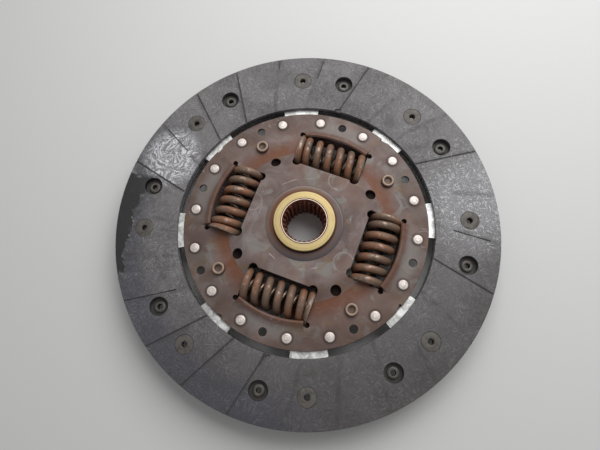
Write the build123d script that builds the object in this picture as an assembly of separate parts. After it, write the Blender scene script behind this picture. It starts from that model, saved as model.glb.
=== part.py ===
from build123d import *
import os
from math import asin, atan2, cos, degrees, hypot, pi, radians, sin, sqrt, tan

# Clutch friction disc with a torsional damper, in millimetres.
# The origin is the centre of the hub's rear end and +Z runs up the bore towards the front.
# Windows, springs and lobes repeat four times from the +X axis, cushion segments eight times.

# Friction facings, riveted back to back on the cushion segments.
FACING_OUTER_D = 215.0
FACING_INNER_D = 145.0
FACING_THICKNESS = 2.6
FACE_HEIGHT = 18.0
FACING_RIVET_OFFSET = 1.3
FACING_PAIR_ANGLE = 13.6
FACING_PAIR_HALF_ANGLE = 7.93
GROOVE_COUNT = 24
FRONT_GROOVE_PLACES = (0, 1, 3, 6, 7, 9, 10, 11, 12, 15, 16, 17, 18, 21)
REAR_GROOVE_PLACES = (0, 3, 6, 9, 12, 15, 18, 21)
GROOVE_START_ANGLE = -0.9
GROOVE_SLANT_ANGLE = 5.6
GROOVE_WIDTH = 1.1
GROOVE_DEPTH = 0.35

# Cushion segments: a riveted foot, a neck, and a paddle pressed to two levels.
SEGMENT_COUNT = 8
SEGMENT_START_ANGLE = 22.5
SEGMENT_THICKNESS = 0.8
WAVE_HEIGHT = 0.6
FOOT_WIDTH = 9.0
FOOT_HALF_ANGLE = 13.2
NECK_HALF_ANGLE = 8.15
PADDLE_HALF_ANGLE = 20.4
PADDLE_INNER_MARGIN = 1.7
PADDLE_OUTER_MARGIN = 3.0
WAVE_RUN_LENGTH = 8.0
WAVE_END_OFFSET = 0.4

# Damper springs, one inside the other.
SPRING_OUTER_D = 19.0
SPRING_WIRE_D = 4.1
SPRING_TURNS = 6.6
INNER_SPRING_OUTER_D = 9.6
INNER_SPRING_WIRE_D = 2.1
INNER_SPRING_TURNS = 7.0
SPRING_SEAT_GAP = 0.2

# Retainer plates, dished towards the outside of the disc.
PLATE_THICKNESS = 2.0
PLATE_TO_FACING_GAP = 3.7
REAR_RIM_WIDTH = 4.2
DISH_RISE_HEIGHT = 3.6
DISH_SLOPE_WIDTH = 7.6
DISH_FOOT_OFFSET = 1.2
DISH_BORE_WIDTH = 4.8
SEGMENT_RIVET_MARGIN = 5.9
SEGMENT_RIVET_HALF_ANGLE = 10.35
DRAIN_HOLE_R = 2.4
RELIEF_HOLE_R = 3.0
RELIEF_HOLE_OFFSET = 1.0
RIM_NOTCH_WIDTH = 5.6
RIM_NOTCH_DEPTH = 2.6

# Spring windows, and the lip that holds each spring in.
WINDOW_COUNT = 4
WINDOW_LENGTH = 40.0
WINDOW_INNER_GAP = 0.3
WINDOW_OUTER_GAP = 4.1
WINDOW_CORNER_R = 2.6
CRACK_STOP_R = 1.5
CRACK_STOP_OFFSET = 0.6
LIP_THICKNESS = 1.8
LIP_HEIGHT = 3.6
LIP_LEAN_WIDTH = 2.0
LIP_FOOT_WIDTH = 1.6

# Hub, with its flange between the plates.
HUB_LENGTH = 25.1
HUB_BARREL_R = 17.0
SPLINE_TOOTH_COUNT = 26
SPLINE_MAJOR_R = 12.1
SPLINE_MINOR_R = 10.55
SPLINE_ROOT_SHARE = 0.625
SPLINE_TIP_SHARE = 0.325
FLANGE_THICKNESS = 4.0
FLANGE_RIM_WIDTH = 1.5
FLANGE_TO_FOOT_GAP = 2.3
FLANGE_GAP = 0.4

# Twist of the hub in the plates, and the stop rivets that end it.
DRIVE_TWIST_ANGLE = 10.0
COAST_TWIST_ANGLE = 3.0
STOP_MARGIN_ANGLE = 0.5
STOP_RIVET_MARGIN = 4.0
STOP_BARREL_R = 4.2
STOP_TENON_R = 2.9
STOP_HEAD_R = 3.65
STOP_HEAD_HEIGHT = 2.5
STOP_DIMPLE_R = 1.7

# Friction pack between the plates.
BUSH_COLLAR_GAP = 0.15
BUSH_FLANGE_SHARE = 0.575
BUSH_FLANGE_THICKNESS = 1.4
BUSH_CROWN_HEIGHT = 1.2
WASHER_MARGIN = 2.6
WASHER_BORE_GAP = 1.4
CONE_SPRING_THICKNESS = 0.8

# Rivets.
SEGMENT_RIVET_HEAD_R = 2.65
SEGMENT_RIVET_HEAD_HEIGHT = 1.5
SEGMENT_RIVET_CROWN_R = 1.5
FACING_RIVET_HEAD_R = 5.05
FACING_RIVET_HEAD_THICKNESS = 1.0
FACING_RIVET_INSET = 0.12
FACING_RIVET_SHANK_R = 2.3
FACING_RIVET_TAIL_HEIGHT = 0.9

# Clearances.
HEAD_CLEARANCE = 0.1
SHANK_CLEARANCE = 0.05
RUNNING_CLEARANCE = 0.05
CUT_MARGIN = 1.0

# Small round forms have flats, to keep the part light.
SHANK_FLAT_COUNT = 6
HOLE_FLAT_COUNT = 8
RING_FLAT_COUNT = 20
DISH_FLAT_COUNT = 32
WIRE_FLAT_COUNT = 5
COIL_STEP_COUNT = 7
INNER_WIRE_FLAT_COUNT = 4
INNER_COIL_STEP_COUNT = 5

# Radii that follow, from the facings inwards and then from the hub outwards.
FACING_OUTER_R = FACING_OUTER_D / 2
FACING_INNER_R = FACING_INNER_D / 2
FACING_RIVET_CIRCLE_R = (FACING_OUTER_R + FACING_INNER_R) / 2 + FACING_RIVET_OFFSET
PADDLE_INNER_R = FACING_INNER_R + PADDLE_INNER_MARGIN
FRONT_PLATE_R = FACING_INNER_R - PLATE_TO_FACING_GAP
SEGMENT_RIVET_CIRCLE_R = FRONT_PLATE_R - SEGMENT_RIVET_MARGIN
FOOT_INNER_R = FRONT_PLATE_R - FOOT_WIDTH
FLANGE_R = FOOT_INNER_R - FLANGE_TO_FOOT_GAP
STOP_CIRCLE_R = FLANGE_R - STOP_RIVET_MARGIN
WINDOW_OUTER_R = FLANGE_R - FLANGE_RIM_WIDTH
CRACK_STOP_CIRCLE_R = WINDOW_OUTER_R - CRACK_STOP_OFFSET
REAR_PLATE_R = WINDOW_OUTER_R + REAR_RIM_WIDTH
SPRING_CIRCLE_R = WINDOW_OUTER_R - WINDOW_OUTER_GAP - SPRING_OUTER_D / 2
WINDOW_INNER_X = SPRING_CIRCLE_R - SPRING_OUTER_D / 2 - WINDOW_INNER_GAP
DISH_FOOT_R = SPRING_CIRCLE_R + DISH_FOOT_OFFSET
DISH_TOP_R = DISH_FOOT_R - DISH_SLOPE_WIDTH
RELIEF_HOLE_CIRCLE_R = (DISH_TOP_R + DISH_FOOT_R) / 2 + RELIEF_HOLE_OFFSET
WASHER_R = WINDOW_INNER_X - WASHER_MARGIN
WASHER_BORE_R = HUB_BARREL_R + WASHER_BORE_GAP
PLATE_BORE_R = HUB_BARREL_R + DISH_BORE_WIDTH
BUSH_COLLAR_R = PLATE_BORE_R - BUSH_COLLAR_GAP
BUSH_FLANGE_R = PLATE_BORE_R + (WINDOW_INNER_X - PLATE_BORE_R) * BUSH_FLANGE_SHARE

# Levels and angles that follow.
SHEET_TOP = FACE_HEIGHT - FACING_THICKNESS
SHEET_UNDER = SHEET_TOP - 2 * SEGMENT_THICKNESS - WAVE_HEIGHT
PACK_MIDDLE = SHEET_TOP - (SEGMENT_THICKNESS + WAVE_HEIGHT) / 2
RIM_TOP = SHEET_TOP + PLATE_THICKNESS
FLANGE_TOP = SHEET_TOP - FLANGE_GAP
FLANGE_UNDER = FLANGE_TOP - FLANGE_THICKNESS
DISC_MIDDLE = (FLANGE_TOP + FLANGE_UNDER) / 2
DISH_INSIDE = SHEET_TOP + DISH_RISE_HEIGHT
DISH_OUTSIDE = RIM_TOP + DISH_RISE_HEIGHT
WINDOW_HALF = WINDOW_LENGTH / 2
WINDOW_STEP_ANGLE = 360 / WINDOW_COUNT
SEGMENT_STEP_ANGLE = 360 / SEGMENT_COUNT
STOP_ANGLE = (WINDOW_STEP_ANGLE + DRIVE_TWIST_ANGLE - COAST_TWIST_ANGLE) / 2
NEAR_PAIR_ANGLE = FACING_PAIR_ANGLE + FACING_PAIR_HALF_ANGLE
FAR_PAIR_ANGLE = FACING_PAIR_ANGLE - FACING_PAIR_HALF_ANGLE
UPRIGHT = (Align.CENTER, Align.CENTER, Align.MIN)


def spot(radius, angle, z=0.0):
    """A place on a circle about the bore, turned to face outwards."""
    return Rot(0, 0, angle) * Pos(radius, 0, z)


def post(radius, low, high):
    """A round solid on the Z axis between two levels."""
    return Pos(0, 0, low) * Cylinder(radius, high - low, align=UPRIGHT)


def flat_post(radius, low, high, flats=HOLE_FLAT_COUNT):
    """A many-sided solid on the Z axis between two levels."""
    return extrude(Pos(0, 0, low) * RegularPolygon(radius, flats), high - low)


def flat_cone(low_r, low, high_r, high, flats):
    """A many-sided solid on the Z axis that narrows upwards between two levels."""
    taper = degrees(atan2((low_r - high_r) * cos(pi / flats), high - low))
    return extrude(Pos(0, 0, low) * RegularPolygon(low_r, flats), high - low, taper=taper)


def turned(points):
    """A solid turned about the bore from (radius, height) corners."""
    return revolve(make_face(Polyline(*[(r, 0, z) for r, z in points], close=True)), Axis.Z)


def around(count, start=0.0):
    """Evenly spaced angles about the bore."""
    return [start + 360 * step / count for step in range(count)]


def flipped(shape, level):
    """The same piece for the rear side, mirrored about a level."""
    return mirror(shape, Plane.XY.offset(level))


def saved(name, shape):
    """Write one sub-part."""
    export_step(shape, f"parts/{name}.step")


# Friction facings


def groove(step):
    """A slanted groove cut across the friction face."""
    start_angle = GROOVE_START_ANGLE + 360 * step / GROOVE_COUNT
    outer = Vector(FACING_OUTER_R + GROOVE_WIDTH, 0).rotate(Axis.Z, start_angle)
    inner = Vector(FACING_INNER_R - GROOVE_WIDTH, 0).rotate(Axis.Z, start_angle + GROOVE_SLANT_ANGLE)
    run = outer - inner
    middle = (outer + inner) / 2
    turn = degrees(atan2(run.Y, run.X))
    cutter = Box(run.length, GROOVE_WIDTH, 2 * GROOVE_DEPTH)
    return Pos(middle.X, middle.Y, FACE_HEIGHT) * Rot(0, 0, turn) * cutter


def front_level_facing(rivet_angle, window_angle, grooves):
    """A facing at the front's level, with seats for its own rivets and holes down to the other's."""
    seat_floor = FACE_HEIGHT - FACING_RIVET_INSET - FACING_RIVET_HEAD_THICKNESS
    seat_r = FACING_RIVET_HEAD_R + HEAD_CLEARANCE
    shank_r = FACING_RIVET_SHANK_R + SHANK_CLEARANCE
    shape = post(FACING_OUTER_R, SHEET_TOP, FACE_HEIGHT) - post(FACING_INNER_R, SHEET_TOP, FACE_HEIGHT)
    seat = flat_post(seat_r, seat_floor, FACE_HEIGHT)
    shank = flat_post(shank_r, SHEET_TOP, seat_floor, SHANK_FLAT_COUNT)
    window = flat_post(seat_r, SHEET_TOP, FACE_HEIGHT)
    shape -= [spot(FACING_RIVET_CIRCLE_R, a) * (seat + shank) for a in around(SEGMENT_COUNT, rivet_angle)]
    shape -= [spot(FACING_RIVET_CIRCLE_R, a) * window for a in around(SEGMENT_COUNT, window_angle)]
    return shape - [groove(step) for step in grooves]


def front_level_facing_rivets(angle):
    """Eight tubular rivets: a flat head in the facing, and a rolled tail behind the cushion segment."""
    head_top = FACE_HEIGHT - FACING_RIVET_INSET
    head_under = head_top - FACING_RIVET_HEAD_THICKNESS
    tail_end = SHEET_TOP - SEGMENT_THICKNESS - FACING_RIVET_TAIL_HEIGHT
    rivet = flat_post(FACING_RIVET_HEAD_R, head_under, head_top)
    rivet += flat_post(FACING_RIVET_SHANK_R, tail_end, head_under, SHANK_FLAT_COUNT)
    return Compound([spot(FACING_RIVET_CIRCLE_R, a) * rivet for a in around(SEGMENT_COUNT, angle)])


# Cushion segments


def paddle_sheet(tilt):
    """A strip of the two-level sheet, running outwards, with its step along the paddle's middle line."""
    high = SHEET_TOP
    low = SHEET_TOP - WAVE_HEIGHT
    reach = FACING_OUTER_R
    top = [(-reach, low), (WAVE_END_OFFSET - WAVE_RUN_LENGTH, low), (WAVE_END_OFFSET, high), (reach, high)]
    under = [(y, z - SEGMENT_THICKNESS) for y, z in reversed(top)]
    outline = make_face(Polyline(*[(0, y, z) for y, z in top + under], close=True))
    return Rot(0, 0, tilt) * extrude(outline, reach, dir=(1, 0, 0))


def sector(inner, outer, half_angle, tilt=0.0, chords=2):
    """A flat piece of a ring, centred on the +X axis or turned from it, with its arcs as a few chords."""
    angles = [tilt + half_angle * (2 * step / chords - 1) for step in range(chords + 1)]
    outside = [Vector(outer, 0).rotate(Axis.Z, angle) for angle in angles]
    inside = [Vector(inner, 0).rotate(Axis.Z, angle) for angle in reversed(angles)]
    return make_face(Polyline(*outside, *inside, close=True))


def cushion_segment():
    """One spring-steel segment with its neck on the +X axis."""
    tilt = FACING_PAIR_ANGLE - SEGMENT_START_ANGLE
    outline = sector(PADDLE_INNER_R, FACING_OUTER_R - PADDLE_OUTER_MARGIN, PADDLE_HALF_ANGLE, tilt, 4)
    outline += sector(FOOT_INNER_R, PADDLE_INNER_R + PADDLE_OUTER_MARGIN, NECK_HALF_ANGLE)
    outline += sector(FOOT_INNER_R, FRONT_PLATE_R, FOOT_HALF_ANGLE)
    shape = extrude(Pos(0, 0, SHEET_UNDER) * outline, SHEET_TOP - SHEET_UNDER) & paddle_sheet(tilt)
    hole = flat_post(FACING_RIVET_SHANK_R + SHANK_CLEARANCE, SHEET_UNDER, SHEET_TOP, SHANK_FLAT_COUNT)
    for side in (-1, 1):
        shape -= spot(FACING_RIVET_CIRCLE_R, tilt + side * FACING_PAIR_HALF_ANGLE) * hole
    return shape


def segment_rivets():
    """The domed heads of the sixteen rivets that hold the segments under the front plate."""
    head_top = RIM_TOP + SEGMENT_RIVET_HEAD_HEIGHT
    head = flat_cone(SEGMENT_RIVET_HEAD_R, RIM_TOP, SEGMENT_RIVET_CROWN_R, head_top, HOLE_FLAT_COUNT)
    return Compound([spot(SEGMENT_RIVET_CIRCLE_R, a) * head for a in segment_rivet_angles()])


def segment_rivet_angles():
    """Where the segments are riveted, two to a segment."""
    middles = around(SEGMENT_COUNT, SEGMENT_START_ANGLE)
    return [m + side * SEGMENT_RIVET_HALF_ANGLE for m in middles for side in (-1, 1)]


# Retainer plates


def dished_disc(rim_r):
    """The plate before its holes: a flat rim, a short slope and a raised middle."""
    slope = atan2(DISH_RISE_HEIGHT, DISH_FOOT_R - DISH_TOP_R)
    inset = PLATE_THICKNESS * tan(slope / 2)
    shape = post(rim_r, SHEET_TOP, RIM_TOP)
    shape += flat_cone(DISH_FOOT_R, RIM_TOP, DISH_TOP_R, DISH_OUTSIDE, DISH_FLAT_COUNT)
    shape -= flat_cone(DISH_FOOT_R - inset, SHEET_TOP, DISH_TOP_R - inset, DISH_INSIDE, DISH_FLAT_COUNT)
    return shape - flat_post(PLATE_BORE_R, DISH_INSIDE, DISH_OUTSIDE, RING_FLAT_COUNT)


def window(crack_stops):
    """The spring window on the +X axis, with rounded inner corners and holes that stop cracks at its lip."""
    opening = Rectangle(FLANGE_R, WINDOW_LENGTH, align=(Align.MIN, Align.CENTER))
    shape = Pos(WINDOW_INNER_X, 0) * opening & Circle(WINDOW_OUTER_R)
    stop_angle = degrees(asin((WINDOW_HALF + CRACK_STOP_R / 2) / CRACK_STOP_CIRCLE_R))
    corner = RegularPolygon(WINDOW_CORNER_R, HOLE_FLAT_COUNT)
    crack_stop = RegularPolygon(CRACK_STOP_R, HOLE_FLAT_COUNT)
    for side in (-1, 1):
        shape += Pos(WINDOW_INNER_X + CUT_MARGIN, side * (WINDOW_HALF - WINDOW_CORNER_R)) * corner
        if crack_stops:
            shape += spot(CRACK_STOP_CIRCLE_R, side * stop_angle) * crack_stop
    return extrude(Pos(0, 0, SHEET_TOP) * shape, DISH_OUTSIDE - SHEET_TOP)


def window_lip():
    """The strip at the window's outer edge, bent up over the spring."""
    run = hypot(LIP_LEAN_WIDTH, LIP_HEIGHT)
    across = (LIP_THICKNESS * LIP_HEIGHT / run, LIP_THICKNESS * LIP_LEAN_WIDTH / run)
    inner_top = (WINDOW_OUTER_R - LIP_LEAN_WIDTH, SHEET_TOP + LIP_HEIGHT)
    outer_top = (inner_top[0] + across[0], inner_top[1] + across[1])
    drop = outer_top[1] - RIM_TOP
    outer_foot = (outer_top[0] + drop * LIP_LEAN_WIDTH / LIP_HEIGHT, RIM_TOP)
    profile = [
        (WINDOW_OUTER_R, SHEET_TOP),
        inner_top,
        outer_top,
        outer_foot,
        (outer_foot[0] + LIP_FOOT_WIDTH, RIM_TOP),
        (outer_foot[0] + LIP_FOOT_WIDTH, SHEET_TOP),
    ]
    half_angle = degrees(asin((WINDOW_HALF - CRACK_STOP_R / 2) / WINDOW_OUTER_R))
    face = make_face(Polyline(*[(r, 0, z) for r, z in profile], close=True))
    return Rot(0, 0, -half_angle) * revolve(face, Axis.Z, 2 * half_angle)


def windowed_plate(rim_r, crack_stops):
    """A retainer plate at the front's level with its four windows, lips and stop rivet holes."""
    shape = dished_disc(rim_r)
    shape -= [Rot(0, 0, a) * window(crack_stops) for a in around(WINDOW_COUNT)]
    shape += [Rot(0, 0, a) * window_lip() for a in around(WINDOW_COUNT)]
    stop_hole = flat_post(STOP_TENON_R + SHANK_CLEARANCE, SHEET_TOP, RIM_TOP, SHANK_FLAT_COUNT)
    return shape - [spot(STOP_CIRCLE_R, a) * stop_hole for a in around(WINDOW_COUNT, STOP_ANGLE)]


def front_plate():
    """The plate that carries the cushion segments."""
    shape = windowed_plate(FRONT_PLATE_R, True)
    drain = flat_post(DRAIN_HOLE_R, SHEET_TOP, RIM_TOP)
    relief = flat_post(RELIEF_HOLE_R, SHEET_TOP, DISH_OUTSIDE)
    notch = Polyline(
        (FRONT_PLATE_R - RIM_NOTCH_DEPTH, -RIM_NOTCH_WIDTH / 8),
        (FRONT_PLATE_R + CUT_MARGIN, -RIM_NOTCH_WIDTH / 2 - CUT_MARGIN),
        (FRONT_PLATE_R + CUT_MARGIN, RIM_NOTCH_WIDTH / 2 + CUT_MARGIN),
        (FRONT_PLATE_R - RIM_NOTCH_DEPTH, RIM_NOTCH_WIDTH / 8),
        close=True,
    )
    notch = extrude(Pos(0, 0, SHEET_TOP) * make_face(notch), PLATE_THICKNESS)
    shape -= [spot(SEGMENT_RIVET_CIRCLE_R, a) * drain for a in around(SEGMENT_COUNT)]
    shape -= [spot(RELIEF_HOLE_CIRCLE_R, a) * relief for a in around(WINDOW_COUNT, WINDOW_STEP_ANGLE / 2)]
    notch_angle = SEGMENT_START_ANGLE + SEGMENT_STEP_ANGLE
    return shape - [Rot(0, 0, a) * notch for a in around(WINDOW_COUNT, notch_angle)]


def rear_plate():
    """The smaller plate behind the flange."""
    return flipped(windowed_plate(REAR_PLATE_R, False), DISC_MIDDLE)


def stop_rivets():
    """Four shouldered rivets that space the plates and stop the flange."""
    head_top = RIM_TOP + STOP_HEAD_HEIGHT
    barrel = flat_post(STOP_BARREL_R, 2 * DISC_MIDDLE - SHEET_TOP, SHEET_TOP)
    end = flat_post(STOP_TENON_R, SHEET_TOP, RIM_TOP, SHANK_FLAT_COUNT)
    end += flat_post(STOP_HEAD_R, RIM_TOP, head_top)
    rivet = barrel + end + flipped(end, DISC_MIDDLE)
    rivet -= flat_post(STOP_DIMPLE_R, RIM_TOP, head_top, SHANK_FLAT_COUNT)
    return Compound([spot(STOP_CIRCLE_R, a) * rivet for a in around(WINDOW_COUNT, STOP_ANGLE)])


# Damper springs


def coil(outer_d, wire_d, turns, flats, coil_steps, hand):
    """A coil spring about the Y axis at the first window, its ends ground flat."""
    length = WINDOW_LENGTH - 2 * SPRING_SEAT_GAP
    mean_r = (outer_d - wire_d) / 2
    climb = length / turns
    spare = wire_d / climb
    steps = round((turns + spare) * coil_steps)
    start = -steps / 2
    line = Polyline(*[
        (
            mean_r * cos(2 * pi * (start + i) / coil_steps),
            climb * (start + i) / coil_steps,
            -hand * mean_r * sin(2 * pi * (start + i) / coil_steps),
        )
        for i in range(steps + 1)
    ])
    wire = Plane(origin=line @ 0, z_dir=line % 0) * RegularPolygon(wire_d / 2, flats)
    shape = sweep(wire, path=line, transition=Transition.RIGHT)
    ground = Box(2 * outer_d, length, 2 * outer_d)
    return Pos(SPRING_CIRCLE_R, 0, DISC_MIDDLE) * (shape & ground)


# Hub, flange and friction pack


def spline_hole():
    """The hub's bore, between its driving teeth."""
    half_pitch = radians(180 / SPLINE_TOOTH_COUNT)
    root = SPLINE_MAJOR_R * half_pitch * SPLINE_ROOT_SHARE
    tip = SPLINE_MINOR_R * half_pitch * SPLINE_TIP_SHARE
    tooth = [(SPLINE_MAJOR_R, -root), (SPLINE_MINOR_R, -tip), (SPLINE_MINOR_R, tip), (SPLINE_MAJOR_R, root)]
    corners = [Vector(*corner).rotate(Axis.Z, a) for a in around(SPLINE_TOOTH_COUNT) for corner in tooth]
    return extrude(make_face(Polyline(*corners, close=True)), HUB_LENGTH)


def stop_slot():
    """The room that the stop rivet needs in the lobe at its side of the +X axis."""
    pin_half = degrees(asin(STOP_BARREL_R / STOP_CIRCLE_R))
    low_angle = STOP_ANGLE - DRIVE_TWIST_ANGLE - pin_half - STOP_MARGIN_ANGLE
    high_angle = STOP_ANGLE + COAST_TWIST_ANGLE + pin_half + STOP_MARGIN_ANGLE
    middle = (low_angle + high_angle) / 2
    floor = STOP_CIRCLE_R - STOP_BARREL_R - FLANGE_GAP
    return sector(floor, FLANGE_R + CUT_MARGIN, (high_angle - low_angle) / 2, middle)


def flange():
    """The four-lobed flange that drives the springs, forged in one with the hub."""
    outline = Circle(FLANGE_R)
    opening = Rectangle(FLANGE_R, WINDOW_LENGTH, align=(Align.MIN, Align.CENTER))
    opening = Pos(WINDOW_INNER_X, 0) * opening
    outline -= [Rot(0, 0, a) * opening for a in around(WINDOW_COUNT)]
    outline -= [Rot(0, 0, a) * stop_slot() for a in around(WINDOW_COUNT)]
    return extrude(Pos(0, 0, FLANGE_UNDER) * outline, FLANGE_THICKNESS)


def hub():
    """The splined hub with its flange."""
    return post(HUB_BARREL_R, 0, HUB_LENGTH) + flange() - spline_hole()


def guide_bush():
    """The bush that centres a plate on the hub, with a tapered collar through the plate."""
    under = DISH_INSIDE - BUSH_FLANGE_THICKNESS
    bore_r = (HUB_BARREL_R + RUNNING_CLEARANCE) / cos(pi / RING_FLAT_COUNT)
    crown_top = DISH_OUTSIDE + BUSH_CROWN_HEIGHT
    shape = flat_post(BUSH_FLANGE_R, under, DISH_INSIDE, RING_FLAT_COUNT)
    shape += flat_post(BUSH_COLLAR_R, DISH_INSIDE, DISH_OUTSIDE, RING_FLAT_COUNT)
    shape += flat_cone(BUSH_COLLAR_R, DISH_OUTSIDE, bore_r + BUSH_CROWN_HEIGHT, crown_top, RING_FLAT_COUNT)
    return shape - flat_post(bore_r, under, crown_top, RING_FLAT_COUNT)


def cone_spring():
    """The conical spring washer that loads the friction pack."""
    top = DISH_INSIDE - BUSH_FLANGE_THICKNESS
    under = FLANGE_TOP + RUNNING_CLEARANCE
    drop = top - CONE_SPRING_THICKNESS - under
    shape = flat_cone(WASHER_R, under + CONE_SPRING_THICKNESS, WASHER_BORE_R, top, RING_FLAT_COUNT)
    shape += flat_post(WASHER_R, under, under + CONE_SPRING_THICKNESS, RING_FLAT_COUNT)
    shape -= flat_cone(WASHER_R, under, WASHER_BORE_R, under + drop, RING_FLAT_COUNT)
    return shape - flat_post(WASHER_BORE_R, under, top, RING_FLAT_COUNT)


def friction_ring():
    """The ring that rubs on the back of the flange."""
    low = 2 * DISC_MIDDLE - DISH_INSIDE + BUSH_FLANGE_THICKNESS
    high = FLANGE_UNDER - RUNNING_CLEARANCE
    shape = flat_post(WASHER_R, low, high, RING_FLAT_COUNT)
    return shape - flat_post(WASHER_BORE_R, low, high, RING_FLAT_COUNT)


def build():
    """Make every sub-part in its place."""
    os.makedirs("parts", exist_ok=True)
    saved("front_facing", front_level_facing(NEAR_PAIR_ANGLE, FAR_PAIR_ANGLE, FRONT_GROOVE_PLACES))
    rear_facing = front_level_facing(FAR_PAIR_ANGLE, NEAR_PAIR_ANGLE, REAR_GROOVE_PLACES)
    saved("rear_facing", flipped(rear_facing, PACK_MIDDLE))
    saved("front_facing_rivets", front_level_facing_rivets(NEAR_PAIR_ANGLE))
    saved("rear_facing_rivets", flipped(front_level_facing_rivets(FAR_PAIR_ANGLE), PACK_MIDDLE))
    segment = cushion_segment()
    for number, angle in enumerate(around(SEGMENT_COUNT, SEGMENT_START_ANGLE), 1):
        saved(f"cushion_segment_{number}", Rot(0, 0, angle) * segment)
    saved("segment_rivets", segment_rivets())
    saved("front_plate", front_plate())
    saved("rear_plate", rear_plate())
    saved("stop_rivets", stop_rivets())
    outer_coil = coil(SPRING_OUTER_D, SPRING_WIRE_D, SPRING_TURNS, WIRE_FLAT_COUNT, COIL_STEP_COUNT, 1)
    inner_coil = coil(
        INNER_SPRING_OUTER_D,
        INNER_SPRING_WIRE_D,
        INNER_SPRING_TURNS,
        INNER_WIRE_FLAT_COUNT,
        INNER_COIL_STEP_COUNT,
        -1,
    )
    for number, angle in enumerate(around(WINDOW_COUNT), 1):
        saved(f"damper_spring_{number}", Rot(0, 0, angle) * outer_coil)
        saved(f"inner_spring_{number}", Rot(0, 0, angle) * inner_coil)
    saved("hub", hub())
    saved("front_guide_bush", guide_bush())
    saved("rear_guide_bush", flipped(guide_bush(), DISC_MIDDLE))
    saved("cone_spring", cone_spring())
    saved("friction_ring", friction_ring())


build()
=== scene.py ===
from math import asin, atan2, degrees, pi, radians, tau

import bmesh
import bpy
from mathutils import Matrix, Vector


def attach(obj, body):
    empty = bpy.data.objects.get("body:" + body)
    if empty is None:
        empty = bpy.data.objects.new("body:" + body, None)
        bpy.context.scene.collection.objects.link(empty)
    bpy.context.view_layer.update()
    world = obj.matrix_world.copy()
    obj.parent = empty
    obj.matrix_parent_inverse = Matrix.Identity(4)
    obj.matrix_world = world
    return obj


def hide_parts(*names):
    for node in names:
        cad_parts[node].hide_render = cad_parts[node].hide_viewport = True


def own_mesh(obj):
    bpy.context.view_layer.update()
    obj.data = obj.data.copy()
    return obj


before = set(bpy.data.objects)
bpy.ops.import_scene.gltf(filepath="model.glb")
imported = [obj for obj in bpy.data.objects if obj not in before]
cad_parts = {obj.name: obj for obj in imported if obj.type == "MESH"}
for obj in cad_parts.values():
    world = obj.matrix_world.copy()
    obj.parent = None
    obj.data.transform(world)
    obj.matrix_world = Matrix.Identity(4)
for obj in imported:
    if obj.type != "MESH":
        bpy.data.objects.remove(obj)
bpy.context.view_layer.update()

# A worn clutch disc with a torsional damper. Shapes are worked in millimetres and
# scaled to metres as they are finished; +Z runs up the bore towards the front.
MM = 0.001

# Levels, from the hub's rear end.
FACE = 18.0
SHEET = 15.4
RIM = 17.4
DISH = 21.0
DISH_UNDER = 19.0
PACK_MIDDLE = 14.7
DAMPER_MIDDLE = 13.0
FLANGE_TOP = 15.0
FLANGE_UNDER = 11.0
SEGMENT_UNDER = 14.2
HUB_END = 25.1

# Facings and their rivets. A groove's place is its number round the bore, and a worn
# groove also has its inner and outer ends.
FACING_R = 107.5
FACING_BORE = 72.5
RIVET_CIRCLE = 91.3
FRONT_RIVETS = 21.53
REAR_RIVETS = 5.67
SEAT_R = 5.15
SEAT_DEPTH = 1.12
SEAT_HOLE_R = 2.4
LINING_HEAD_R = 5.05
LINING_SHANK_R = 2.3
LINING_TUBE_R = 1.55
FULL_GROOVES = (0, 3, 6, 9, 10, 12, 16, 17, 18)
WORN_GROOVES = ((1, 82, 102), (7, 93, 105), (8, 101, 109), (11, 83, 102), (15, 79, 109))
REAR_GROOVES = range(0, 24, 3)
CHIPPED_GROOVES = (6, 18)
GROOVE_START = -0.9
GROOVE_STEP = 15.0
GROOVE_SLANT = 5.6
GROOVE_DEPTH = 0.36
FULL_GROOVE_WIDTH = 1.3
WORN_GROOVE_WIDTH = 0.9

# Plates, with the distance from the bore and the angle of each press mark.
PLATE_R = 68.8
REAR_PLATE_R = 60.2
PLATE_BORE = 21.8
DISH_FOOT = 43.6
DISH_TOP = 36.0
WINDOW_R = 56.0
WINDOW_X = 32.2
WINDOW_HALF = 20.0
WINDOW_STEP = 90.0
WINDOW_CORNER_R = 2.6
CRACK_STOP_R = 1.5
CRACK_STOP_CIRCLE = WINDOW_R - 0.6
RIM_HOLE_R = 2.4
SLOPE_HOLE_R = 3.0
SLOPE_HOLE_CIRCLE = 40.8
NOTCH_SIZE = 5.4
NOTCH_ROUND = 1.3
NOTCH_START = 67.5
PRESS_MARKS = ((30.9, 72.7), (32.3, 176.6), (30.7, 334.0))
PRESS_MARK_R = 5.4

# Rivets of the plates. Each cushion segment has two, to either side of its middle.
SEGMENT_RIVET_CIRCLE = 62.9
SEGMENT_RIVET_R = 2.8
SEGMENT_START = 22.5
SEGMENT_STEP = 45.0
SEGMENT_RIVET_ANGLE = 10.35
STOP_CIRCLE = 53.5
STOP_ANGLE = 48.5
STOP_HEAD_R = 3.65
STOP_NECK_R = 3.0
STOP_SHOULDER_R = 4.2

# Springs: the size of each, its runs of (turns, climb), close at the ends, and the
# angle round its own axis at which the wire starts.
SPRING_CIRCLE = 42.4
SPRING_OUTSIDE = 19.8
SPRING_WIRE = 4.2
SPRING_RUNS = ((1.2, 4.3), (5.0, 6.45), (0.75, 4.3))
SPRING_START = -126
INNER_OUTSIDE = 10.2
INNER_WIRE = 2.2
INNER_RUNS = ((0.8, 2.5), (5.6, 6.4), (0.8, 2.5))
INNER_START = 40
SPRING_END = WINDOW_HALF - 0.2

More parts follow.
